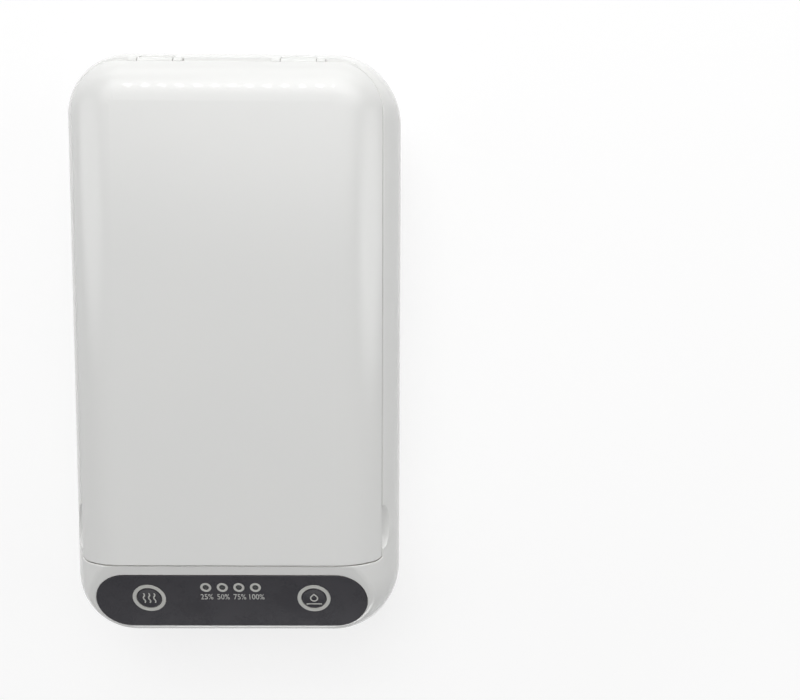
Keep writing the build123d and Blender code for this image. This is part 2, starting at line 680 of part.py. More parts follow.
# ================================================================ lid
def lid_cover():
    """The outer lid: a crowned shell with a blunt edge, screw bosses and two knuckles."""
    level = LID_Z - (HEIGHT - EDGE_R)
    land = EDGE_R - math.sqrt(EDGE_R**2 - level**2) + LID_LAND
    outline = RectangleRounded(WIDTH - 2 * land, LENGTH - 2 * land, CORNER_R - land)
    cover = pebble() & extrude(outline, FAR) & layer(LID_Z, FAR, -FAR, PIVOT_Y - 0.1)
    cover &= behind_nose(LID_Z, GAP)
    cover = fillet([edge for edge in cover.edges() if on_nose_lip(edge, LID_Z, GAP)], LIP_R)
    cover -= lid_hollow()
    for x, y in LID_SCREWS:
        cover += rod(x, y, LID_Z + LINER_T, HEIGHT - LID_WALL, 4.6) & pebble(1)
        cover -= rod(x, y, LID_Z, LID_Z + 3.2, 1.6)
    for span in ear_spans(0.2):
        cover -= both_sides(cross_rod(span, PIVOT_Y, PIVOT_Z, 2 * BARREL_R + 0.5))
    cover += both_sides(lid_knuckle())
    return cover - both_sides(cross_rod(pin_span(), PIVOT_Y, PIVOT_Z, BORE_D))


def lid_hollow(gap=0.0):
    """The space inside the lid's walls."""
    inside = layer(0, FAR, LID_FRONT_Y + LID_WALL + gap, PIVOT_Y - 2.6 - gap)
    return pebble(LID_WALL + gap) & inside


def lid_liner():
    """The inner frame: a flat ring with a raised wall round the tubes' window."""
    ring = layer(LID_Z, LID_Z + LINER_T) & lid_hollow(0.1)
    wall = round_plate(grown(WINDOW, 1.2), WINDOW_R + 1.2, LID_Z, LID_Z + 3.4) & lid_hollow(0.1)
    liner = ring + wall - round_plate(WINDOW, WINDOW_R, LID_Z - 1, HEIGHT)
    for x, y in LID_SCREWS:
        liner -= rod(x, y, LID_Z - 1, LID_Z + 0.7, 3.6)
        liner -= rod(x, y, LID_Z - 1, LID_Z + 3, 1.9)
    liner -= lid_magnets(0.1)
    liner -= [rod(x, y, LID_Z - 1, LID_Z + 0.5, 4.0) for x, y in bumper_places()]
    return liner


def lid_reflector():
    """A polished sheet that follows the inside of the lid over the tubes."""
    outer = pebble(LID_WALL + REFLECTOR_IN)
    sheet = outer - pebble(LID_WALL + REFLECTOR_IN + REFLECTOR_T)
    return sheet & round_plate(grown(WINDOW, -0.1), WINDOW_R - 0.1, LID_Z + 1, HEIGHT)


def lid_screws():
    """Four small screws that hold the liner in the lid."""
    return [screw(x, y, LID_Z + 0.7, LID_Z + 3.0, 1.6, 3.4, 0.6) for x, y in LID_SCREWS]


def bumper_places():
    """Centres of the soft stops under the lid."""
    return [(x, y) for x in (-50.0, 50.0) for y in (-52.0, 78.0)]


def lid_bumpers():
    """Thin soft stops that quiet the lid."""
    return [rod(x, y, LID_Z - 0.2, LID_Z + 0.5, 4.0) for x, y in bumper_places()]


def lid_magnets(grow=0.0):
    """Three bar magnets along the lid's front: two to close it, one for the sensor."""
    back = LID_FRONT_Y + LID_WALL
    z_range = (LID_Z + 0.3 - grow, LID_Z + 4.0)
    y_range = (back - grow, back + 2.5 + grow)
    return [span_box((x - 5 - grow, x + 5 + grow), y_range, z_range) for x in (-20, 0, 20)]


def uv_lamp(x):
    """One quartz tube."""
    ends = (CAVITY_Y - LAMP_L / 2, CAVITY_Y + LAMP_L / 2)
    return long_rod(x, ends, LAMP_Z, LAMP_D) - long_rod(x, ends, LAMP_Z, LAMP_BORE)


def lamp_ends():
    """Tube ends as x, y and the direction that points out of the tube."""
    return [(x, CAVITY_Y + way * LAMP_L / 2, way) for x in (-LAMP_X, LAMP_X) for way in (-1, 1)]


def lamp_electrodes():
    """The metal cups inside the tube ends, on their lead wires."""
    cups = []
    for x, y, way in lamp_ends():
        cup = long_rod(x, sorted((y - way * 12, y - way * 6)), LAMP_Z, 2.2)
        cups.append(cup + long_rod(x, sorted((y - way * 6, y)), LAMP_Z, 0.8))
    return cups


def lamp_end_caps():
    """Soft blocks that hold the tube ends under the reflector."""
    top = HEIGHT - LID_WALL - REFLECTOR_IN - REFLECTOR_T
    caps = []
    for x, y, way in lamp_ends():
        body = span_box((x - 4, x + 4), sorted((y - way * 5, y + way * 3)), (LID_Z + 0.2, top))
        body = chamfer(body.edges().group_by(Axis.Z)[0], 0.6)
        caps.append(body - long_rod(x, sorted((y - way * 6, y)), LAMP_Z, LAMP_D))
    return caps


def lamp_clips():
    """Sprung clips that steady the middle of each tube."""
    top = HEIGHT - LID_WALL - REFLECTOR_IN - REFLECTOR_T
    clips = []
    for x in (-LAMP_X, LAMP_X):
        for y in (CAVITY_Y - 30, CAVITY_Y + 30):
            reach = (y - 1.5, y + 1.5)
            clip = long_rod(x, reach, LAMP_Z, LAMP_D + 0.9)
            clip += span_box((x - 3.5, x + 3.5), reach, (top - 0.4, top))
            clip -= long_rod(x, reach, LAMP_Z, LAMP_D + 0.1)
            clip -= layer(0, LAMP_Z - 1.0)
            clips.append(clip & layer(0, top))
    return clips


# ================================================================ small parts
def base_magnets():
    """Two bar magnets behind the wall that faces the lid."""
    front = NOSE_Y - WALL
    return [span_box((x - 5, x + 5), (front - 2.5, front), (41.0, 44.8)) for x in (-20, 20)]


def lid_sensor():
    """The magnetic switch that puts the tubes out when the lid opens."""
    front = NOSE_Y - WALL
    return span_box((-2, 2), (front - 1.6, front), (41.5, 44.5))


def hinge_pins():
    """Two plain steel pins."""
    return both_sides(cross_rod(pin_span(), PIVOT_Y, PIVOT_Z, PIN_D))


PIECES = {
    "bottom_shell": bottom_shell,
    "upper_shell": upper_shell,
    "cavity_tray": cavity_tray,
    "floor_reflector": floor_reflector,
    "warming_film": warming_film,
    "aroma_pad": aroma_pad,
    "aroma_cap": aroma_cap,
    "aroma_heater": aroma_heater,
    "speaker_gasket": speaker_gasket,
    "speaker_frame": speaker_frame,
    "speaker_cone": speaker_cone,
    "speaker_magnet": speaker_magnet,
    "driver_board": driver_board,
    "driver_board_screws": driver_board_screws,
    "inverter_transformer": inverter_transformer,
    "capacitors": capacitors,
    "power_inductor": power_inductor,
    "driver_chips": driver_chips,
    "cable_headers": cable_headers,
    "power_socket": power_socket,
    "socket_tongue": socket_tongue,
    "socket_board": socket_board,
    "control_panel": control_panel,
    "button_rings": button_rings,
    "led_rings": led_rings,
    "light_pipes": light_pipes,
    "control_board": control_board,
    "control_board_screws": control_board_screws,
    "tact_switches": tact_switches,
    "status_leds": status_leds,
    "board_connector": board_connector,
    "base_magnets": base_magnets,
    "lid_sensor": lid_sensor,
    "hinge_pins": hinge_pins,
    "rubber_feet": rubber_feet,
    "case_screws": case_screws,
    "lid_cover": lid_cover,
    "lid_liner": lid_liner,
    "lid_reflector": lid_reflector,
    "lid_screws": lid_screws,
    "lid_bumpers": lid_bumpers,
    "lid_magnets": lid_magnets,
    "uv_lamp_left": lambda: uv_lamp(-LAMP_X),
    "uv_lamp_right": lambda: uv_lamp(LAMP_X),
    "lamp_electrodes": lamp_electrodes,
    "lamp_end_caps": lamp_end_caps,
    "lamp_clips": lamp_clips,
    "aroma_button": lambda: push_button(-BUTTON_X),
    "aroma_plunger": lambda: plunger(-BUTTON_X),
    "coating_button": lambda: push_button(BUTTON_X),
    "coating_plunger": lambda: plunger(BUTTON_X),
}


def main():
    """Builds every piece and writes it as parts/NAME.step."""
    os.makedirs("parts", exist_ok=True)
    for name, make in PIECES.items():
        made = make()
        if isinstance(made, (list, tuple)):
            made = Compound(children=list(made))
        export_step(made, f"parts/{name}.step")


if __name__ == "__main__":
    main()
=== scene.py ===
"""Looks of the phone sanitizer box: its finishes, printed marks, studio and camera.

Frame: metres, +Z up, +Y towards the hinge, origin under the middle of the feet.
"""

import json
import logging
import math
from dataclasses import dataclass, field
from enum import Enum

import bmesh
import bpy
from mathutils import Matrix, Vector


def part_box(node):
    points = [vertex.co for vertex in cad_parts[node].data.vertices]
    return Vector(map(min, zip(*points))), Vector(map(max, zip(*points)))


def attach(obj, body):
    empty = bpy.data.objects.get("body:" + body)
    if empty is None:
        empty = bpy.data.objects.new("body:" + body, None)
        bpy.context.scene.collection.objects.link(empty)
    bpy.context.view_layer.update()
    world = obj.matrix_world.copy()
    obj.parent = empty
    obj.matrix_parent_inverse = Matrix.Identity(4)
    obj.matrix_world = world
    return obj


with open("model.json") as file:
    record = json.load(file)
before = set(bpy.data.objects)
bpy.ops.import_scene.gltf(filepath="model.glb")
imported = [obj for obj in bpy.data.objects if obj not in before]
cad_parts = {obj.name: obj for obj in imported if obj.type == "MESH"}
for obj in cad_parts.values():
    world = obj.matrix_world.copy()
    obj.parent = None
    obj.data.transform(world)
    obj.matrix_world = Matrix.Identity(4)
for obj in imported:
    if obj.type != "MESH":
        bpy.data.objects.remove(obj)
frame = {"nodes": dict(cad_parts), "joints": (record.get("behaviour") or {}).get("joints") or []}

MM = 0.001
LOG = logging.getLogger("sanitizer_box")
Colour = tuple[float, float, float]
Place = tuple[float, float, float]
# A range, as its start and its end.
Span = tuple[float, float]
Socket = bpy.types.NodeSocket

WHITE: Colour = (1.0, 1.0, 1.0)

# Inputs and output of a colour blend on Blender's Mix node, where several share a name.
MIX_LOW = 6
MIX_HIGH = 7
MIX_RESULT = 2


class Body(Enum):
    """The bodies that the printed pieces ride on."""

    BASE = "base"
    AROMA_KEY = "aroma_key"
    COATING_KEY = "coating_key"


class Along(Enum):
    """How a grain is stretched, as factors on the object's own axes."""

    NONE = (1.0, 1.0, 1.0)
    LENGTH = (1.0, 0.03, 1.0)
    WIDTH = (0.03, 1.0, 1.0)
    HEIGHT = (1.0, 1.0, 0.03)


class Slot(Enum):
    """The record's material slots."""

    WHITE_SHELL = "white_shell"
    WHITE_LINER = "white_liner"
    POLISHED_SHEET = "polished_sheet"
    AMBER_FILM = "amber_film"
    FELT = "felt"
    CERAMIC = "ceramic"
    FOAM = "foam"
    PRESSED_STEEL = "pressed_steel"
    PAPER_CONE = "paper_cone"
    CIRCUIT_BOARD = "circuit_board"
    SCREW_STEEL = "screw_steel"
    FERRITE = "ferrite"
    CAN_ALUMINIUM = "can_aluminium"
    CHIP_BLACK = "chip_black"
    HEADER_WHITE = "header_white"
    PANEL_DARK = "panel_dark"
    RING_GREY = "ring_grey"
    CLEAR_PIPE = "clear_pipe"
    SWITCH_BODY = "switch_body"
    NICKEL = "nickel"
    RUBBER_GREY = "rubber_grey"
    SILICONE = "silicone"
    QUARTZ = "quartz"
    SPRING_STEEL = "spring_steel"
    PLUNGER_BLACK = "plunger_black"


# ------------------------------------------------------------------ node building
def grey(level: float) -> Colour:
    """Give the grey of a level from 0 to 1."""
    return (level, level, level)


def seen_ray(tree: bpy.types.NodeTree) -> Socket:
    """Find out whether a ray shows the background.

    Args:
        tree: Nodes of a material or of the world.

    Returns:
        A value that is 1 for camera, mirror and see-through rays, and 0 for the rest.
    """
    path = tree.nodes.new("ShaderNodeLightPath")
    seen: Socket = path.outputs["Is Camera Ray"]
    for ray in ("Is Glossy Ray", "Is Transmission Ray"):
        either = tree.nodes.new("ShaderNodeMath")
        either.operation = "MAXIMUM"
        tree.links.new(seen, either.inputs[0])
        tree.links.new(path.outputs[ray], either.inputs[1])
        seen = either.outputs[0]
    return seen


class ShaderGraph:
    """One material's nodes, laid on the object's own coordinates."""

    # How alike the rounded and the flat normal are on an edge, and away from it.
    EDGE_LIKENESS: Span = (0.85, 0.995)
    EDGE_SAMPLES = 4
    # How open a place is deep in a gap, and out of it, for the shade painted into gaps.
    GAP_OPENNESS: Span = (0.2, 0.8)
    GAP_SAMPLES = 6

    def __init__(self, name: str) -> None:
        """Start a material with only its surface shader and coordinates.

        Args:
            name: The material's name.
        """
        self.material = bpy.data.materials.new(name)
        self.material.use_nodes = True
        self.tree = self.material.node_tree
        self.shader = self.tree.nodes["Principled BSDF"]
        self.place: Socket = self.node("ShaderNodeTexCoord").outputs["Object"]

    def node(self, kind: str, **settings: object) -> bpy.types.Node:
        """Add a node.

        Args:
            kind: Blender's type name of the node.
            **settings: Properties to set on it.

        Returns:
            The new node.
        """
        made = self.tree.nodes.new(kind)
        for name, value in settings.items():
            setattr(made, name, value)
        return made

    def feed(self, socket: Socket, value: object) -> None:
        """Link a socket to another, or give it a plain value.

        Args:
            socket: The input to fill.
            value: Another node's output, a number or a colour.
        """
        if isinstance(value, Socket):
            self.tree.links.new(value, socket)
        elif isinstance(value, tuple) and socket.type == "RGBA":
            socket.default_value = (*value, 1.0)
        else:
            socket.default_value = value

    def stretched(self, along: Along) -> Socket:
        """Scale the coordinates per axis.

        Args:
            along: The direction in which a pattern is drawn out.

        Returns:
            The scaled coordinates.
        """
        mapping = self.node("ShaderNodeMapping")
        self.feed(mapping.inputs["Vector"], self.place)
        self.feed(mapping.inputs["Scale"], along.value)
        return mapping.outputs["Vector"]

    def noise(self, size: float, detail: float = 2.0, along: Along = Along.NONE) -> Socket:
        """Make soft noise.

        Args:
            size: Width of one blotch in metres.
            detail: Octaves of finer noise.
            along: Direction in which the blotches are drawn out.

        Returns:
            The noise's value, from 0 to 1.
        """
        made = self.node("ShaderNodeTexNoise")
        self.feed(made.inputs["Vector"], self.stretched(along))
        self.feed(made.inputs["Scale"], 1.0 / size)
        self.feed(made.inputs["Detail"], detail)
        return made.outputs["Fac"]

    def span(self, value: Socket, target: Span, source: Span = (0.3, 0.7)) -> Socket:
        """Map a value from one range onto another.

        Args:
            value: The value to map.
            target: What it becomes at the start and the end of its own range.
            source: Start and end of its own range, which for noise is its usual one.

        Returns:
            The mapped value, held within the target.
        """
        made = self.node("ShaderNodeMapRange")
        low, high = target
        start, end = source
        limits = {"Value": value, "From Min": start, "From Max": end, "To Min": low, "To Max": high}
        for name, limit in limits.items():
            self.feed(made.inputs[name], limit)
        return made.outputs["Result"]

    def maths(self, operation: str, first: object, second: object = 0.0) -> Socket:
        """Work out a number from two others.

        Args:
            operation: Blender's name of the operation, such as ADD.
            first: A value or an output.
            second: A value or an output.

        Returns:
            The result.
        """
        made = self.node("ShaderNodeMath", operation=operation)
        self.feed(made.inputs[0], first)
        self.feed(made.inputs[1], second)
        return made.outputs["Value"]

    def mix(self, factor: Socket, low: object, high: object) -> Socket:
        """Blend two colours.

        Args:
            factor: Share of the second colour.
            low: The first colour.
            high: The second colour.

        Returns:
            The blend.
        """
        made = self.node("ShaderNodeMix", data_type="RGBA")
        self.feed(made.inputs["Factor"], factor)
        self.feed(made.inputs[MIX_LOW], low)
        self.feed(made.inputs[MIX_HIGH], high)
        return made.outputs[MIX_RESULT]

    def edges(self, radius: float) -> tuple[Socket, Socket]:
        """Find the edges of the piece.

        Args:
            radius: How far an edge is felt, in metres.

        Returns:
            The normal rounded over the edges, and a mask that is 1 on them.
        """
        bevel = self.node("ShaderNodeBevel", samples=self.EDGE_SAMPLES)
        self.feed(bevel.inputs["Radius"], radius)
        flat = self.node("ShaderNodeNewGeometry").outputs["Normal"]
        alike = self.node("ShaderNodeVectorMath", operation="DOT_PRODUCT")
        self.feed(alike.inputs[0], bevel.outputs["Normal"])
        self.feed(alike.inputs[1], flat)
        mask = self.span(alike.outputs["Value"], (1.0, 0.0), self.EDGE_LIKENESS)
        return bevel.outputs["Normal"], mask

    def gaps(self, reach: float) -> Socket:
        """Find narrow gaps and inner corners, where shade is painted in, partly as dirt.

        Args:
            reach: How far the walls of a gap are felt, in metres.

        Returns:
            A mask that is 1 deep in a gap and 0 in the open.
        """
        # Painted shade: occlusion finds where the surface is hemmed in, so that shade can be
        # painted there.
        openness = self.node("ShaderNodeAmbientOcclusion", samples=self.GAP_SAMPLES)
        self.feed(openness.inputs["Distance"], reach)
        return self.span(openness.outputs["AO"], (1.0, 0.0), self.GAP_OPENNESS)

    def bump(self, height: Socket, distance: float, under: Socket) -> Socket:
        """Raise the surface.

        Args:
            height: Height from 0 to 1.
            distance: What a height of 1 is in metres.
            under: The normal that it starts from.

        Returns:
            The new normal.
        """
        made = self.node("ShaderNodeBump")
        self.feed(made.inputs["Height"], height)
        self.feed(made.inputs["Distance"], distance)
        self.feed(made.inputs["Normal"], under)
        return made.outputs["Normal"]

    def set(self, **values: object) -> None:
        """Set inputs of the surface shader.

        Args:
            **values: A value or an output for each, named with _ for a space.
        """
        for name, value in values.items():
            self.feed(self.shader.inputs[name.replace("_", " ")], value)


# ------------------------------------------------------------------ finishes
@dataclass(frozen=True)
class Finish:
    """A surface with blotches of colour, grain, varying gloss, worn edges, and shade painted into
    its gaps along with dirt.

    Attributes:
        light: Colour of its lighter blotches.
        dark: Colour of its darker blotches.
        rough: Lowest and highest roughness.
        blotch: Width of the colour blotches in metres.
        grain: Width of one grain in metres.
        relief: Depth of the grain in metres.
        edge: Radius of the softened edges in metres.
        wear: Colour that shows on the edges.
        along: Direction in which the grain is drawn out.
        metal: Whether the surface is bare metal.
        shine: Strength of its mirror reflection, 0.5 for a plain plastic.
        shade_and_dust_share: Share of painted shade, partly dirt, laid over the surface deep in its
            gaps.
        shade_and_dust_colour: Colour of that painted shade and dirt, a brownish grey.
        gap: How far the walls of a shaded gap are felt, in metres.
        wear_share: Least and greatest share of wear on an edge.
        wear_spot: Width of one worn spot in metres.
        uneven: How much one grain changes the roughness.
    """

    light: Colour
    dark: Colour
    rough: Span = (0.3, 0.45)
    blotch: float = 20 * MM
    grain: float = 0.6 * MM
    relief: float = 0.004 * MM
    edge: float = 0.15 * MM
    wear: Colour = (0.6, 0.6, 0.6)
    along: Along = Along.NONE
    metal: bool = False
    shine: float = 0.5
    shade_and_dust_share: float = 0.4
    shade_and_dust_colour: Colour = (0.20, 0.165, 0.13)
    gap: float = 1.5 * MM
    wear_share: Span = (0.1, 0.6)
    wear_spot: float = 2 * MM
    uneven: float = 0.03

    def colour(self, graph: ShaderGraph) -> Socket:
        """Blend the two colours in blotches."""
        return graph.mix(graph.noise(self.blotch, detail=3.0), self.dark, self.light)

    def roughness(self, graph: ShaderGraph) -> Socket:
        """Vary the gloss in patches a third as wide as the blotches, and with each grain.

        Args:
            graph: The material's nodes.

        Returns:
            The roughness.
        """
        wide = graph.noise(self.blotch / 3, detail=4.0, along=self.along)
        patches = graph.span(wide, self.rough)
        grain = graph.noise(self.grain, detail=3.0, along=self.along)
        return graph.maths("ADD", patches, graph.span(grain, (-self.uneven, self.uneven)))

    def normal(self, graph: ShaderGraph, under: Socket) -> Socket:
        """Raise the grain.

        Args:
            graph: The material's nodes.
            under: The normal that it starts from.

        Returns:
            The normal of the finished surface.
        """
        grain = graph.noise(self.grain, detail=3.0, along=self.along)
        return graph.bump(grain, self.relief, under)

    def paint(self, graph: ShaderGraph) -> None:
        """Lay the finish on a material.

        Args:
            graph: The material's nodes.
        """
        soft_edge, on_edge = graph.edges(self.edge)
        spots = graph.span(graph.noise(self.wear_spot), self.wear_share)
        worn = graph.maths("MULTIPLY", on_edge, spots)
        clean = graph.mix(worn, self.colour(graph), self.wear)
        # Painted shade, partly dirt: deep in narrow gaps the colour is blended towards a brownish
        # grey.
        shade_and_dust_amount = graph.maths("MULTIPLY", graph.gaps(self.gap), self.shade_and_dust_share)
        graph.set(
            Base_Color=graph.mix(shade_and_dust_amount, clean, self.shade_and_dust_colour),
            Roughness=self.roughness(graph),
            Normal=self.normal(graph, soft_edge),
            Metallic=float(self.metal),
            Specular_IOR_Level=self.shine,
        )

    def material(self, name: str) -> bpy.types.Material:
        """Make the material.

        Args:
            name: Name of the record's slot that it stands for.

        Returns:
            The finished material.
        """
        graph = ShaderGraph(f"{name}_finish")
        self.paint(graph)
        return graph.material


@dataclass(frozen=True)
class GlossMoulding(Finish):
    """Polished moulded plastic with slow ripples, orange peel and faint scuffs.

    Attributes:
        ripple: Depth of the slow ripples in metres.
        ripple_width: Width of one ripple in metres.
        patch: Width of one patch of even gloss in metres.
        scuff: Greatest roughness that a scuff adds.
        scuff_width: Width of one scuff in metres.
        scuffed: From where to where the scuffs' noise shows.
    """

    ripple: float = 0.03 * MM
    ripple_width: float = 45 * MM
    patch: float = 30 * MM
    scuff: float = 0.03
    scuff_width: float = 1.2 * MM
    scuffed: Span = (0.62, 0.8)

    def roughness(self, graph: ShaderGraph) -> Socket:
        """Vary the gloss in wide patches and add the scuffs.

        Args:
            graph: The material's nodes.

        Returns:
            The roughness.
        """
        streaks = graph.noise(self.scuff_width, detail=3.0, along=Along.LENGTH)
        scuffs = graph.span(streaks, (0.0, self.scuff), self.scuffed)
        patches = graph.span(graph.noise(self.patch, detail=4.0), self.rough)
        return graph.maths("ADD", patches, scuffs)

    def normal(self, graph: ShaderGraph, under: Socket) -> Socket:
        """Lay orange peel over slow ripples.

        Args:
            graph: The material's nodes.
            under: The normal that it starts from.

        Returns:
            The normal of the finished surface.
        """
        ripples = graph.noise(self.ripple_width, detail=1.0)
        slow = graph.bump(ripples, self.ripple, under)
        return graph.bump(graph.noise(self.grain), self.relief, slow)


@dataclass(frozen=True)
class PolishedSheet(Finish):
    """Rolled and polished metal sheet that is never quite flat.

    Attributes:
        buckle: Depth of its slow waves in metres.
        buckle_width: Width of one wave in metres.
    """

    buckle: float = 0.05 * MM
    buckle_width: float = 26 * MM

    def normal(self, graph: ShaderGraph, under: Socket) -> Socket:
        """Draw fine rolling lines over slow waves.

        Args:
            graph: The material's nodes.
            under: The normal that it starts from.

        Returns:
            The normal of the finished surface.
        """
        waves = graph.bump(graph.noise(self.buckle_width, detail=0.0), self.buckle, under)
        lines = graph.noise(self.grain, along=self.along)
        return graph.bump(lines, self.relief, waves)


@dataclass(frozen=True)
class Glass(Finish):
    """Clear glass or plastic with a slight haze.

    Attributes:
        ior: How strongly it bends light.
    """

    ior: float = 1.46

    def paint(self, graph: ShaderGraph) -> None:
        """Let light through the plain finish."""
        super().paint(graph)
        graph.set(Transmission_Weight=1.0, IOR=self.ior)


@dataclass(frozen=True)
class TubeGlass(Glass):
    """Quartz tube that is smoked near its electrodes.

    Attributes:
        middle: Where the tube's middle is along the box, in metres.
        clear: How far from the middle the glass stays clear.
        smoked: How far from the middle it is darkest.
        smoke: Colour of the deposit on the glass.
        deposit: Share of that colour where the glass is darkest.
    """

    middle: float = 11.5 * MM
    clear: float = 50 * MM
    smoked: float = 66 * MM
    smoke: Colour = (0.16, 0.14, 0.12)
    deposit: float = 0.85

    def colour(self, graph: ShaderGraph) -> Socket:
        """Darken the tube towards both its ends.

        Args:
            graph: The material's nodes.

        Returns:
            The glass's colour.
        """
        axes = graph.node("ShaderNodeSeparateXYZ")
        graph.feed(axes.inputs["Vector"], graph.place)
        off = graph.maths("ABSOLUTE", graph.maths("SUBTRACT", axes.outputs["Y"], self.middle))
        share = graph.span(off, (0.0, self.deposit), (self.clear, self.smoked))
        return graph.mix(share, super().colour(graph), self.smoke)


FINISHES: dict[Slot, Finish] = {
    Slot.WHITE_SHELL: GlossMoulding(
        light=(0.80, 0.80, 0.785),
        dark=(0.77, 0.775, 0.765),
        rough=(0.02, 0.04),
        blotch=60 * MM,
        grain=0.9 * MM,
        relief=0.0015 * MM,
        edge=0.25 * MM,
        wear=(0.74, 0.73, 0.70),
        # Strong painted shade, partly dirt, in the shell's seams and gaps.
        shade_and_dust_share=0.65,
    ),
    Slot.WHITE_LINER: Finish(
        light=(0.76, 0.76, 0.74),
        dark=(0.72, 0.72, 0.71),
        rough=(0.3, 0.42),
        wear=(0.66, 0.65, 0.62),
    ),
    Slot.POLISHED_SHEET: PolishedSheet(
        light=(0.31, 0.32, 0.335),
        dark=(0.26, 0.27, 0.285),
        rough=(0.14, 0.26),
        grain=0.25 * MM,
        along=Along.LENGTH,
        metal=True,
    ),
    Slot.AMBER_FILM: Finish(
        light=(0.55, 0.22, 0.03),
        dark=(0.42, 0.15, 0.02),
        rough=(0.18, 0.3),
        wear=(0.6, 0.3, 0.06),
    ),
    Slot.FELT: Finish(
        light=(0.62, 0.58, 0.5),
        dark=(0.5, 0.46, 0.38),
        rough=(0.85, 0.95),
        grain=0.2 * MM,
        relief=0.08 * MM,
    ),
    Slot.CERAMIC: Finish(light=(0.78, 0.76, 0.72), dark=(0.7, 0.68, 0.63), rough=(0.45, 0.6)),
    Slot.FOAM: Finish(
        light=(0.05, 0.05, 0.05),
        dark=(0.03, 0.03, 0.03),
        rough=(0.85, 0.95),
        grain=0.3 * MM,
        relief=0.1 * MM,
    ),
    Slot.PRESSED_STEEL: Finish(
        light=(0.62, 0.62, 0.61),
        dark=(0.5, 0.5, 0.5),
        rough=(0.25, 0.4),
        along=Along.WIDTH,
        metal=True,
    ),
    Slot.PAPER_CONE: Finish(
        light=(0.04, 0.037, 0.035),
        dark=(0.025, 0.024, 0.022),
        rough=(0.7, 0.85),
        relief=0.03 * MM,
    ),
    Slot.CIRCUIT_BOARD: Finish(
        light=(0.02, 0.16, 0.06),
        dark=(0.012, 0.10, 0.04),
        rough=(0.25, 0.4),
        blotch=4 * MM,
    ),
    Slot.SCREW_STEEL: Finish(
        light=(0.58, 0.58, 0.6),
        dark=(0.44, 0.44, 0.46),
        rough=(0.22, 0.4),
        blotch=3 * MM,
        metal=True,
    ),
    Slot.FERRITE: Finish(
        light=(0.06, 0.06, 0.065),
        dark=(0.03, 0.03, 0.033),
        rough=(0.5, 0.7),
        relief=0.02 * MM,
    ),
    Slot.CAN_ALUMINIUM: Finish(
        light=(0.8, 0.8, 0.8),
        dark=(0.7, 0.7, 0.7),
        rough=(0.2, 0.35),
        blotch=3 * MM,
        along=Along.HEIGHT,
        metal=True,
    ),
    Slot.CHIP_BLACK: Finish(
        light=(0.03, 0.03, 0.032),
        dark=(0.018, 0.018, 0.02),
        rough=(0.4, 0.55),
        grain=0.15 * MM,
    ),
    Slot.HEADER_WHITE: Finish(light=(0.78, 0.76, 0.68), dark=(0.7, 0.68, 0.6), rough=(0.35, 0.5)),
    Slot.PANEL_DARK: Finish(
        light=(0.0112, 0.0100, 0.0160),
        dark=(0.0098, 0.0087, 0.0140),
        rough=(0.24, 0.32),
        blotch=40 * MM,
        grain=0.22 * MM,
        relief=0.004 * MM,
        wear=(0.05, 0.052, 0.06),
        shine=0.25,
    ),
    Slot.RING_GREY: Finish(
        light=(0.54, 0.54, 0.51),
        dark=(0.48, 0.48, 0.46),
        rough=(0.28, 0.4),
        blotch=3 * MM,
        grain=0.3 * MM,
        wear=(0.6, 0.6, 0.58),
    ),
    Slot.CLEAR_PIPE: Glass(
        light=(0.5, 0.52, 0.55),
        dark=(0.4, 0.42, 0.46),
        rough=(0.05, 0.15),
        wear=(0.7, 0.7, 0.7),
        ior=1.49,
    ),
    Slot.SWITCH_BODY: Finish(light=(0.06, 0.06, 0.06), dark=(0.04, 0.04, 0.04), rough=(0.35, 0.5)),
    Slot.NICKEL: Finish(
        light=(0.72, 0.7, 0.66),
        dark=(0.62, 0.6, 0.57),
        rough=(0.12, 0.28),
        blotch=2 * MM,
        metal=True,
    ),
    Slot.RUBBER_GREY: Finish(
        light=(0.145, 0.145, 0.15),
        dark=(0.11, 0.11, 0.115),
        rough=(0.55, 0.75),
        blotch=3 * MM,
        grain=0.25 * MM,
        relief=0.02 * MM,
        wear=(0.24, 0.24, 0.24),
    ),
    Slot.SILICONE: Finish(
        light=(0.66, 0.67, 0.68),
        dark=(0.6, 0.61, 0.62),
        rough=(0.42, 0.55),
        grain=0.4 * MM,
    ),
    Slot.QUARTZ: TubeGlass(
        light=(0.97, 0.98, 0.985),
        dark=(0.93, 0.95, 0.96),
        rough=(0.0, 0.06),
        wear=(0.95, 0.95, 0.95),
    ),
    Slot.SPRING_STEEL: Finish(
        light=(0.6, 0.6, 0.6),
        dark=(0.5, 0.5, 0.51),
        rough=(0.2, 0.35),
        along=Along.WIDTH,
        metal=True,
    ),
    Slot.PLUNGER_BLACK: Finish(
        light=(0.03, 0.03, 0.03),
        dark=(0.02, 0.02, 0.02),
        rough=(0.35, 0.5),
    ),
}


@dataclass
class FinishShop:
    """Makes each finish once and lays it on the pieces that take it."""

    made: dict[Slot, bpy.types.Material] = field(default_factory=dict)

    def material(self, slot: Slot) -> bpy.types.Material:
        """Give a slot's finished material.

        Args:
            slot: The record's slot.

        Returns:
            Its material, made on first use.
        """
        if slot not in self.made:
            self.made[slot] = FINISHES[slot].material(slot.value)
        return self.made[slot]

    def dress_node(self, node: bpy.types.Object) -> None:
        """Swap a node's plain material for the finish of the same slot."""
        for holder in node.material_slots:
            holder.material = self.material(Slot(holder.material.name.split(".")[0]))

    def dress_piece(self, piece: bpy.types.Object, slot: Slot) -> None:
        """Give a new piece its finish.

        Args:
            piece: The piece.
            slot: The record's slot that it is finished as.
        """
        piece.data.materials.clear()
        piece.data.materials.append(self.material(slot))


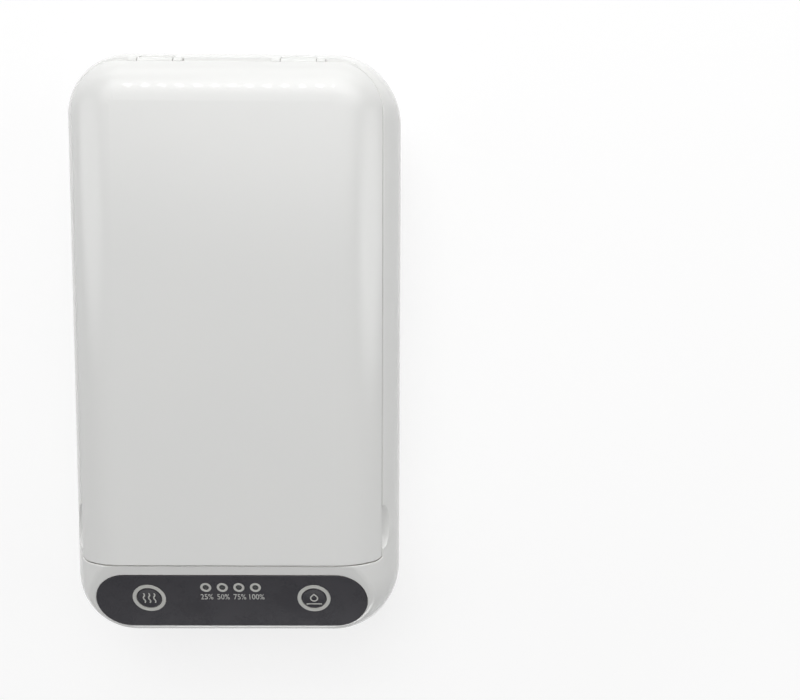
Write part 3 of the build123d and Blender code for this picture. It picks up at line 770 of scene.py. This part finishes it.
# ------------------------------------------------------------------ shared making
def new_piece(name: str, bm: bmesh.types.BMesh, body: Body) -> bpy.types.Object:
    """Turn a finished bmesh into a piece that rides on a body.

    Args:
        name: Name of the piece.
        bm: Its shape in the shared frame; it is freed.
        body: The body it moves with.

    Returns:
        The new object, at the origin.
    """
    bmesh.ops.recalc_face_normals(bm, faces=bm.faces)
    mesh = bpy.data.meshes.new(name)
    bm.to_mesh(mesh)
    bm.free()
    piece = bpy.data.objects.new(name, mesh)
    bpy.context.scene.collection.objects.link(piece)
    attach(piece, body.value)
    LOG.info("%s: %d faces on %s", name, len(mesh.polygons), body.value)
    return piece


def parts_of(geometry: list[object], kind: type) -> list[object]:
    """Pick the vertices, or the edges, from what an operator gives back."""
    return [part for part in geometry if isinstance(part, kind)]


def middle(node: str) -> Vector:
    """Find the centre of a node's box."""
    low, high = (Vector(corner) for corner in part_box(node))
    return (low + high) / 2


@dataclass
class SubAssembly:
    """A group of the box's pieces that are made and dressed together.

    Attributes:
        shop: Where the finishes come from.
    """

    shop: FinishShop

    def nodes(self) -> tuple[str, ...]:
        """Name the frame's nodes in the group."""
        raise NotImplementedError

    def build(self) -> None:
        """Make the group's own pieces; a group without any keeps this."""

    def dress(self) -> None:
        """Give each node of the group its finish."""
        for name in self.nodes():
            self.shop.dress_node(frame["nodes"][name])
            LOG.info("%s dressed", name)


# ------------------------------------------------------------------ case
@dataclass
class Housing(SubAssembly):
    """The two base shells with their feet, screws and closing magnets."""

    def nodes(self) -> tuple[str, ...]:
        """Name the housing's nodes."""
        shells = ("bottom_shell", "upper_shell", "rubber_feet")
        return (*shells, "case_screws", "base_magnets", "lid_sensor")


@dataclass
class PhoneCavity(SubAssembly):
    """The tray that holds the phone, its mirror sheet and the aroma well."""

    def nodes(self) -> tuple[str, ...]:
        """Name the cavity's nodes."""
        tray = ("cavity_tray", "floor_reflector", "warming_film")
        return (*tray, "aroma_pad", "aroma_cap", "aroma_heater")


@dataclass
class Speaker(SubAssembly):
    """The small speaker over the sound holes."""

    def nodes(self) -> tuple[str, ...]:
        """Name the speaker's nodes."""
        return tuple(f"speaker_{part}" for part in ("gasket", "frame", "cone", "magnet"))


@dataclass
class Electronics(SubAssembly):
    """The driver board with its parts, and the power socket."""

    def nodes(self) -> tuple[str, ...]:
        """Name the nodes on the driver board and round the socket.

        Returns:
            The names of the frame's nodes.
        """
        board = ("driver_board", "driver_board_screws", "inverter_transformer", "capacitors")
        small = ("power_inductor", "driver_chips", "cable_headers")
        return (*board, *small, "power_socket", "socket_tongue", "socket_board")


@dataclass
class UvTubes(SubAssembly):
    """The two quartz tubes with their electrodes, end blocks and clips."""

    def nodes(self) -> tuple[str, ...]:
        """Name the tubes' nodes."""
        return ("uv_lamp_left", "uv_lamp_right", "lamp_electrodes", "lamp_end_caps", "lamp_clips")


@dataclass
class Lid(SubAssembly):
    """The hinged lid with its liner, mirror sheet, stops and magnets."""

    def nodes(self) -> tuple[str, ...]:
        """Name the lid's nodes and the pins it turns on."""
        shell = ("lid_cover", "lid_liner", "lid_reflector", "lid_screws")
        return (*shell, "lid_bumpers", "lid_magnets", "hinge_pins")


# ------------------------------------------------------------------ control strip
class DeckPlace:
    """The sloping deck's own axes, from the way its buttons are pressed."""

    def __init__(self) -> None:
        """Read the slope from a button's joint and the height from the panel's face."""
        joint = next(j for j in frame["joints"] if j["name"] == "aroma_button_press")
        self.out = -Vector(joint["axis"])
        self.up = self.out.cross(Vector((1, 0, 0)))
        panel = frame["nodes"]["control_panel"].data
        self.face = max(vertex.co.dot(self.out) for vertex in panel.vertices)

    def up_to(self, node: str) -> float:
        """Measure how far up the slope a node's middle sits."""
        return middle(node).dot(self.up)

    def at(self, x: float, v: float) -> Matrix:
        """Give a place on the panel's face.

        Args:
            x: Distance to the right of the middle.
            v: Distance up the slope, as up_to gives it.

        Returns:
            The turn and shift that carry a flat drawing there.
        """
        turn = Matrix(((1, 0, 0), self.up, self.out)).transposed().to_4x4()
        return turn @ Matrix.Translation((x, v, self.face))


@dataclass
class PrintedScale:
    """The charge scale printed under the indicator rings.

    Attributes:
        texts: The numbers from left to right.
        height: Height of the lettering's em.
        narrow: Width of a letter over its usual width.
        bold: How much each stroke is thickened on each side.
        drop: From the rings' middle down to the numbers' middle.
        ring: Diameter of an indicator ring.
        thick: Thickness of the print.
        smooth: Steps along each curve of a letter.
    """

    texts: tuple[str, ...] = ("25%", "50%", "75%", "100%")
    height: float = 3.7 * MM
    narrow: float = 0.80
    bold: float = 0.005 * MM
    drop: float = 4.7 * MM
    ring: float = 4.2 * MM
    thick: float = 0.02 * MM
    smooth: int = 3

    def build(self, shop: FinishShop, deck: DeckPlace) -> None:
        """Cut each number as a thin print under its indicator ring.

        Args:
            shop: Where its finish comes from.
            deck: The deck's axes.
        """
        low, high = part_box("led_rings")
        steps = len(self.texts) - 1
        pitch = (high[0] - low[0] - self.ring) / steps
        bm = bmesh.new()
        row = deck.up_to("led_rings") - self.drop
        for step, text in enumerate(self.texts):
            self.add_number(bm, text, deck.at((step - steps / 2) * pitch, row))
        shop.dress_piece(new_piece("percent_scale", bm, Body.BASE), Slot.RING_GREY)

    def add_number(self, bm: bmesh.types.BMesh, text: str, place: Matrix) -> None:
        """Add one number, centred on its place.

        Args:
            bm: Where it is added.
            text: The number.
            place: The turn and shift that carry it onto the deck.
        """
        curve = bpy.data.curves.new(f"number_{text}", "FONT")
        curve.body = text
        curve.size = self.height
        curve.align_x = "CENTER"
        curve.align_y = "CENTER"
        curve.extrude = self.thick
        curve.offset = self.bold
        curve.resolution_u = self.smooth
        letters = bpy.data.objects.new("number", curve)
        bpy.context.scene.collection.objects.link(letters)
        ready = letters.evaluated_get(bpy.context.evaluated_depsgraph_get())
        mesh = bpy.data.meshes.new_from_object(ready)
        mesh.transform(place @ Matrix.Diagonal((self.narrow, 1, 1, 1)))
        bm.from_mesh(mesh)
        bpy.data.objects.remove(letters)
        bpy.data.meshes.remove(mesh)
        bpy.data.curves.remove(curve)


@dataclass
class KeyMarks:
    """Small pictures printed in the dishes of the two keys.

    Attributes:
        stroke: Width of a printed line.
        thick: Thickness of the print.
        dish: Radius of the dish in a key's top.
        strands: Places of the rising strands across the aroma key.
        bend: Radius of a strand's bends.
        swing: Turn of each bend.
        bend_steps: Steps along each bend.
        drop: Radius of the droplet on the coating key.
        drop_turn: Turn of the droplet's round part.
        drop_steps: Steps along that part.
        coat: Width of the coat that the droplet falls on.
        coat_below: How far below the droplet's middle the coat lies.
        coat_steps: Steps along the coat, so that it follows the dish.
        merge: How near two corners are joined.
    """

    stroke: float = 0.5 * MM
    thick: float = 0.02 * MM
    dish: float = 60 * MM
    strands: tuple[float, ...] = (-2.0 * MM, 0.0, 2.0 * MM)
    bend: float = 1.15 * MM
    swing: float = math.radians(84)
    bend_steps: int = 8
    drop: float = 1.35 * MM
    drop_turn: float = math.radians(270)
    drop_steps: int = 24
    coat: float = 6.0 * MM
    coat_below: float = 2.7 * MM
    coat_steps: int = 8
    merge: float = 0.001 * MM

    def build(self, shop: FinishShop, deck: DeckPlace) -> None:
        """Print both keys.

        Args:
            shop: Where the finish comes from.
            deck: The deck's axes.
        """
        prints = (
            ("aroma_mark", "aroma_button", Body.AROMA_KEY, self.scent),
            ("coating_mark", "coating_button", Body.COATING_KEY, self.droplet),
        )
        for name, key, body, draw in prints:
            bm = bmesh.new()
            draw(bm)
            self.lay(bm, deck.at(middle(key).x, deck.up_to("button_rings")))
            shop.dress_piece(new_piece(name, bm, body), Slot.RING_GREY)

    def scent(self, bm: bmesh.types.BMesh) -> None:
        """Draw three waving strands, each of three bends.

        Args:
            bm: Where the flat ribbons are added.
        """
        reach = 3 * self.bend * math.sin(self.swing / 2)
        lean = Matrix.Rotation(-self.swing / 2, 3, "Z") @ Vector((1, 0, 0))
        for x in self.strands:
            foot = Vector((x, -reach, 0))
            ends = [bm.verts.new(foot + lean * way * self.stroke / 2) for way in (-1, 1)]
            tip = [*ends, bm.edges.new(ends)]
            for way in (1, -1, 1):
                left, right = (vert.co.copy() for vert in parts_of(tip, bmesh.types.BMVert))
                across = (right - left).normalized()
                turned = bmesh.ops.spin(
                    bm,
                    geom=tip,
                    cent=(left + right) / 2 - across * way * self.bend,
                    axis=(0, 0, 1),
                    angle=way * self.swing,
                    steps=self.bend_steps,
                )
                tip = turned["geom_last"]

    def droplet(self, bm: bmesh.types.BMesh) -> None:
        """Draw a hollow droplet over the coat that it spreads into.

        Args:
            bm: Where the flat ribbons are added.
        """
        corner = Vector((math.sqrt(0.5), math.sqrt(0.5), 0))
        radii = (self.drop - self.stroke / 2, self.drop + self.stroke / 2)
        ends = [bm.verts.new(corner * radius) for radius in radii]
        start = [*ends, bm.edges.new(ends)]
        round_part = bmesh.ops.spin(
            bm,
            geom=start,
            cent=(0, 0, 0),
            axis=(0, 0, 1),
            angle=-self.drop_turn,
            steps=self.drop_steps,
        )
        for side in (start, round_part["geom_last"]):
            edges = parts_of(side, bmesh.types.BMEdge)
            made = bmesh.ops.extrude_edge_only(bm, edges=edges)["geom"]
            for vert in parts_of(made, bmesh.types.BMVert):
                vert.co = Vector((0, vert.co.length * math.sqrt(2), 0))
        bmesh.ops.remove_doubles(bm, verts=bm.verts, dist=self.merge)
        flat = Matrix.Translation((0, -self.coat_below, 0))
        flat @= Matrix.Diagonal((self.coat, self.stroke, 1, 1))
        bmesh.ops.create_grid(bm, x_segments=self.coat_steps, y_segments=1, size=0.5, matrix=flat)

    def lay(self, bm: bmesh.types.BMesh, place: Matrix) -> None:
        """Sink flat ribbons onto the dish, thicken them and carry them to their key.

        Args:
            bm: The ribbons, round the key's middle.
            place: The turn and shift that carry them onto the deck.
        """
        for vert in bm.verts:
            vert.co.z += vert.co.xy.length_squared / (2 * self.dish)
        raised = bmesh.ops.extrude_face_region(bm, geom=bm.faces[:], use_keep_orig=True)
        tops = parts_of(raised["geom"], bmesh.types.BMVert)
        bmesh.ops.translate(bm, verts=tops, vec=(0, 0, self.thick))
        bmesh.ops.transform(bm, matrix=place, verts=bm.verts)


@dataclass
class ControlStrip(SubAssembly):
    """The dark panel with its keys, rings, lights, board and printed marks.

    Attributes:
        scale: The printed charge scale.
        marks: The keys' printed pictures.
    """

    scale: PrintedScale = field(default_factory=PrintedScale)
    marks: KeyMarks = field(default_factory=KeyMarks)

    def nodes(self) -> tuple[str, ...]:
        """Name the strip's nodes.

        Returns:
            The names of the frame's nodes.
        """
        face = ("control_panel", "button_rings", "led_rings", "light_pipes")
        board = ("control_board", "control_board_screws", "board_connector")
        small = ("tact_switches", "status_leds")
        keys = ("aroma_button", "aroma_plunger", "coating_button", "coating_plunger")
        return (*face, *board, *small, *keys)

    def build(self) -> None:
        """Print the scale and the keys."""
        deck = DeckPlace()
        self.scale.build(self.shop, deck)
        self.marks.build(self.shop, deck)


# ------------------------------------------------------------------ studio
@dataclass
class Camera:
    """The camera above the box, as its lens and place.

    Attributes:
        place: Where it stands.
        tilt: Its turn about X in degrees, from straight down.
        roll: Its turn about Y in degrees.
        turn: Its turn about Z in degrees.
        focal_px: Focal length in pixels of the frame.
        frame_px: Width of the frame.
        sensor: Width of the sensor in Blender's millimetres.
        nearest: How near the lens still sees.
    """

    place: Place = (63.5 * MM, 15.4 * MM, 289.3 * MM)
    tilt: float = -3.497
    roll: float = -0.302
    turn: float = 0.245
    focal_px: float = 645.6
    frame_px: float = 800.0
    sensor: float = 36.0
    nearest: float = 5 * MM

    def build(self) -> None:
        """Make the camera and look through it."""
        lens = bpy.data.cameras.new("camera")
        lens.sensor_width = self.sensor
        lens.lens = self.focal_px / self.frame_px * self.sensor
        lens.clip_start = self.nearest
        camera = bpy.data.objects.new("camera", lens)
        turn = Matrix.Rotation(math.radians(self.turn), 4, "Z")
        turn @= Matrix.Rotation(math.radians(self.roll), 4, "Y")
        turn @= Matrix.Rotation(math.radians(self.tilt), 4, "X")
        camera.matrix_world = Matrix.Translation(self.place) @ turn
        bpy.context.scene.collection.objects.link(camera)
        bpy.context.scene.camera = camera


@dataclass(frozen=True)
class SoftLight:
    """One softbox that fades towards its rim.

    Attributes:
        name: Its name.
        place: Where it hangs.
        target: What it is aimed at.
        size: Its width and height.
        watts: Its power, before the fading takes its part.
        fade: Share of the way from rim to middle over which it fades.
    """

    name: str
    place: Place
    target: Place
    size: tuple[float, float]
    watts: float
    fade: float = 0.7

    def build(self) -> None:
        """Hang the softbox and aim it."""
        light = bpy.data.lights.new(self.name, "AREA")
        light.shape = "RECTANGLE"
        light.size, light.size_y = self.size
        light.energy = self.watts
        self.soften(light)
        box = bpy.data.objects.new(self.name, light)
        aim = (Vector(self.target) - Vector(self.place)).to_track_quat("-Z", "Y")
        box.matrix_world = Matrix.Translation(self.place) @ aim.to_matrix().to_4x4()
        bpy.context.scene.collection.objects.link(box)

    def soften(self, light: bpy.types.AreaLight) -> None:
        """Let the light fade from its middle to its rim.

        Args:
            light: The light.
        """
        light.use_nodes = True
        tree = light.node_tree
        # The light's own coordinates run from 0 to 1, and from -1 to 1 once they are centred.
        centred = tree.nodes.new("ShaderNodeMapping")
        centred.inputs["Location"].default_value = (-1.0, -1.0, 0.0)
        centred.inputs["Scale"].default_value = (2.0, 2.0, 0.0)
        ball = tree.nodes.new("ShaderNodeTexGradient")
        ball.gradient_type = "SPHERICAL"
        soft = tree.nodes.new("ShaderNodeMapRange")
        soft.interpolation_type = "SMOOTHSTEP"
        soft.inputs["From Max"].default_value = self.fade
        place = tree.nodes.new("ShaderNodeNewGeometry").outputs["Parametric"]
        tree.links.new(place, centred.inputs["Vector"])
        tree.links.new(centred.outputs["Vector"], ball.inputs["Vector"])
        tree.links.new(ball.outputs["Fac"], soft.inputs["Value"])
        tree.links.new(soft.outputs["Result"], tree.nodes["Emission"].inputs["Strength"])


@dataclass
class LampRow:
    """A straight row of narrow ceiling lamps behind the box.

    Attributes:
        count: How many there are.
        middle: Where the row's middle hangs.
        pitch: From one to the next.
        size: Width and length of each.
        watts: Power of each.
        fade: How softly each fades towards its rim.
    """

    count: int = 17
    middle: Place = (-0.343, 1.30, 1.21)
    pitch: float = 0.0482
    size: tuple[float, float] = (0.020, 0.22)
    watts: float = 0.10
    fade: float = 0.3

    def build(self) -> None:
        """Hang the lamps side by side."""
        for step in range(self.count):
            x = self.middle[0] + (step - (self.count - 1) / 2) * self.pitch
            lamp = SoftLight(
                name=f"lamp_{step}",
                place=(x, *self.middle[1:]),
                target=(x, 0.0, 0.0),
                size=self.size,
                watts=self.watts,
                fade=self.fade,
            )
            lamp.build()


@dataclass
class Studio:
    """A pale floor under softboxes, against plain white.

    Attributes:
        floor_size: Length of the floor's side.
        floor_grey: How pale the floor is to the light that falls on it.
        floor_look: How pale the floor near the box is where it is seen.
        floor_glow: Its own light there, which fills its shadow.
        floor_rough: Roughness of the floor.
        fade: From where to where the floor's look turns to plain white.
        sky: Colour of the even light from all round.
        lights: The softboxes.
        lamps: The row of lamps behind the box.
    """

    floor_size: float = 6.0
    floor_grey: float = 0.8
    floor_look: float = 0.27
    floor_glow: float = 0.75
    floor_rough: float = 0.9
    fade: Span = (0.22, 0.55)
    sky: Colour = (0.015, 0.0148, 0.0144)
    lights: tuple[SoftLight, ...] = (
        SoftLight("ceiling_softbox", (0.0, 0.95, 1.25), (0, 0, 0.03), (3.6, 2.2), 58.0),
        SoftLight("near_softbox", (0.0, 0.6, 0.5), (0, 0.05, 0.03), (1.1, 0.5), 2.6),
        SoftLight("rear_softbox", (0.0, 0.9, 0.3), (0, 0.03, 0.03), (1.8, 0.5), 3.6),
        SoftLight("front_softbox", (0.0, -1.25, 0.28), (0, 0, 0.03), (2.0, 0.4), 14.0),
        SoftLight("left_softbox", (-1.2, 0.3, 0.6), (0, 0, 0.03), (1.0, 1.6), 7.6),
        SoftLight("right_softbox", (1.2, 0.2, 0.65), (0, 0, 0.03), (1.0, 1.6), 11.0),
    )
    lamps: LampRow = field(default_factory=LampRow)

    def build(self) -> None:
        """Set up the world, the floor and the lights."""
        bpy.context.scene.view_settings.view_transform = "Standard"
        self.build_world()
        self.build_floor()
        for light in self.lights:
            light.build()
        self.lamps.build()

    def build_world(self) -> None:
        """Make a dim even sky that looks plain white where it is seen."""
        world = bpy.data.worlds.new("studio")
        bpy.context.scene.world = world
        world.use_nodes = True
        tree = world.node_tree
        colour = tree.nodes.new("ShaderNodeMix")
        colour.data_type = "RGBA"
        colour.inputs[MIX_LOW].default_value = (*self.sky, 1.0)
        colour.inputs[MIX_HIGH].default_value = (*WHITE, 1.0)
        tree.links.new(seen_ray(tree), colour.inputs["Factor"])
        tree.links.new(colour.outputs[MIX_RESULT], tree.nodes["Background"].inputs["Color"])

    def build_floor(self) -> None:
        """Lay a matt floor that looks white round the box and keeps its shadow."""
        bm = bmesh.new()
        bmesh.ops.create_grid(bm, x_segments=1, y_segments=1, size=self.floor_size / 2)
        mesh = bpy.data.meshes.new("floor")
        bm.to_mesh(mesh)
        bm.free()
        floor = bpy.data.objects.new("floor", mesh)
        bpy.context.scene.collection.objects.link(floor)
        mesh.materials.append(self.floor_paint())

    def floor_paint(self) -> bpy.types.Material:
        """Mix the floor's paint, whose look turns to plain white away from the box.

        Returns:
            The finished material.
        """
        graph = ShaderGraph("floor_paint")
        distance = graph.node("ShaderNodeVectorMath", operation="LENGTH")
        graph.feed(distance.inputs[0], graph.place)
        far = graph.span(distance.outputs["Value"], (0.0, 1.0), self.fade)
        seen = seen_ray(graph.tree)
        look = graph.mix(far, grey(self.floor_look), grey(0.0))
        glow = graph.span(far, (self.floor_glow, 1.0), (0.0, 1.0))
        graph.set(
            Base_Color=graph.mix(seen, grey(self.floor_grey), look),
            Roughness=self.floor_rough,
            Specular_IOR_Level=0.0,
            Emission_Color=WHITE,
            Emission_Strength=graph.maths("MULTIPLY", seen, glow),
        )
        return graph.material


# ------------------------------------------------------------------ all of it
def main() -> None:
    """Dress the box, add its printed marks and set up the studio."""
    logging.basicConfig(level=logging.INFO, format="%(name)s %(message)s")
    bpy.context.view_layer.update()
    shop = FinishShop()
    for group in (Housing, PhoneCavity, Speaker, Electronics, ControlStrip, UvTubes, Lid):
        assembly = group(shop)
        assembly.build()
        assembly.dress()
        LOG.info("%s done", group.__name__)
    Studio().build()
    Camera().build()


if __name__ == "__main__":
    main()
